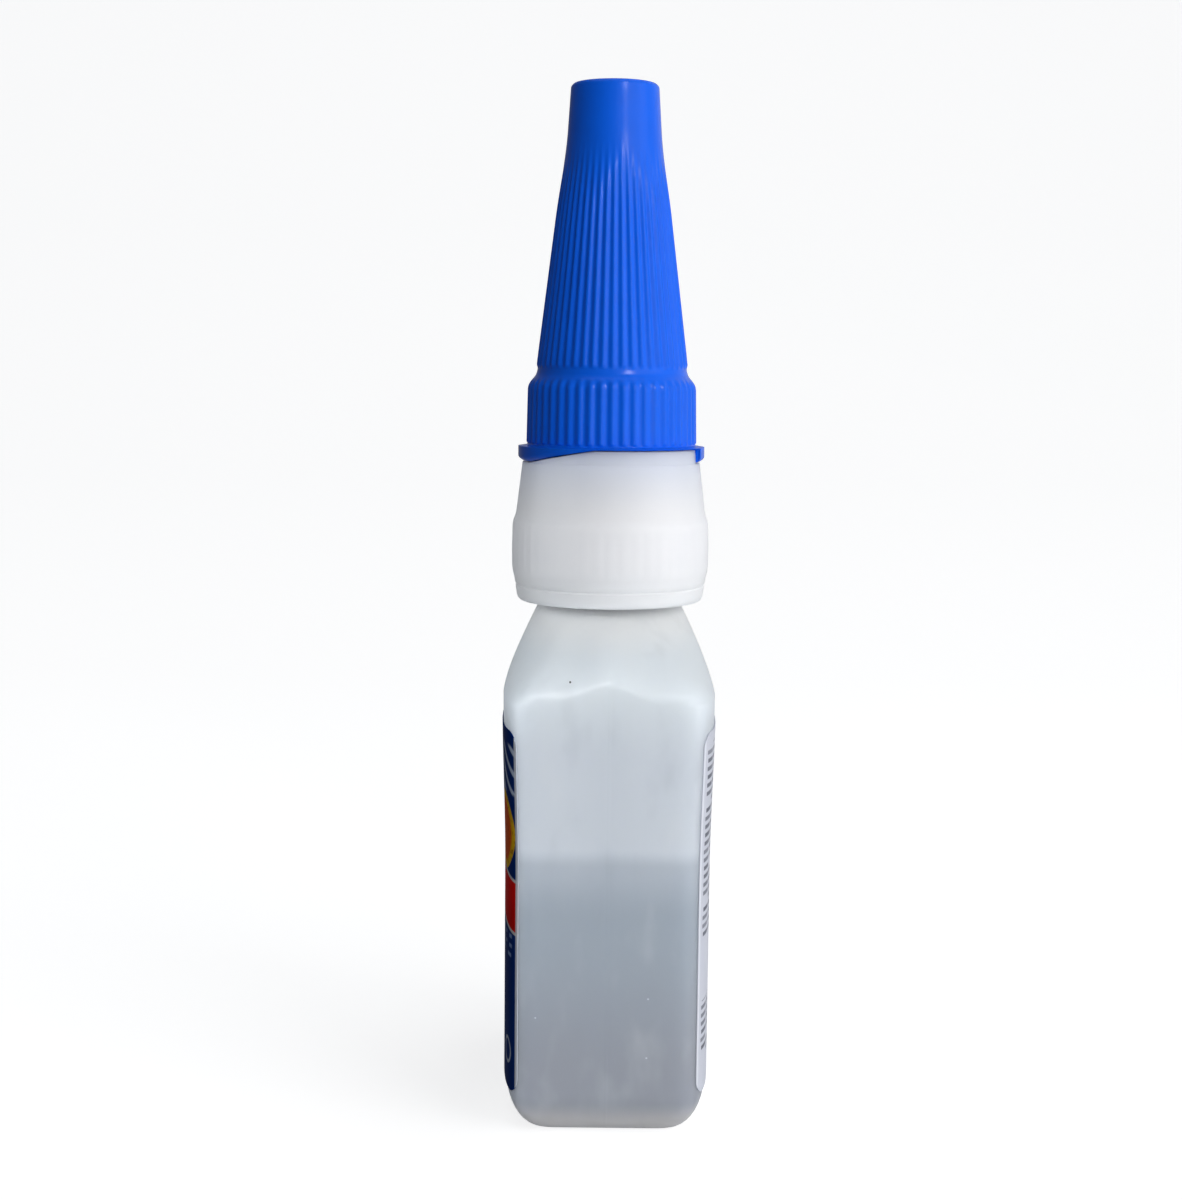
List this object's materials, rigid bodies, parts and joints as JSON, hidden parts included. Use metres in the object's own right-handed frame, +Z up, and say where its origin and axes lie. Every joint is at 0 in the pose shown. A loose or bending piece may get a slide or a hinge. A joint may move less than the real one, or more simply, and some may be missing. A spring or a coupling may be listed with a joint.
{
  "type": "glue applicator bottle",
  "caption": "Flat-sided squeeze bottle for thin adhesive with a knurled push-fit nozzle and a tall ribbed quick-turn cone cap; the cap unscrews and lifts off its spout.",
  "frame": {"origin": "on the table under the middle of the base", "axes": "+Z up along the bottle's axis to the top of the cap; the label faces look along -Y (front) and +Y (back); the narrow faces look along -X and +X"},
  "size_m": [0.035, 0.0236, 0.113],
  "materials": {
    "bottle_plastic": "translucent natural polyethylene, satin",
    "nozzle_plastic": "milky white polyethylene, semi gloss",
    "cap_plastic": "blue moulded plastic, gloss",
    "seal_plastic": "soft white polyethylene",
    "pin_steel": "drawn stainless wire",
    "front_print": null,
    "back_print": "pale printed film with rows of plain dashes",
    "adhesive": "clear thin liquid"
  },
  "bodies": {
    "bottle_body": {"bottle": "bottle_plastic", "nozzle": "nozzle_plastic", "front_label": "front_print", "back_label": "back_print", "glue_fill": "adhesive"},
    "seal_body": {"tip_seal": "seal_plastic", "sealing_pin": "pin_steel"},
    "cap_body": {"cap": "cap_plastic"}
  },
  "joints": [
    {"name": "cap_lift", "type": "slide", "parent": "bottle_body", "child": "seal_body", "axis": [0, 0, 1], "range_m": [0, 0.035]},
    {"name": "cap_turn", "type": "hinge", "parent": "seal_body", "child": "cap_body", "pos_m": [0, 0, 0.0717], "axis": [0, 0, 1], "range_deg": [0, 1260]}
  ],
  "couplings": [
    {"joint": "cap_lift", "follows": "cap_turn", "m_per_rad": 0.0015915}
  ]
}
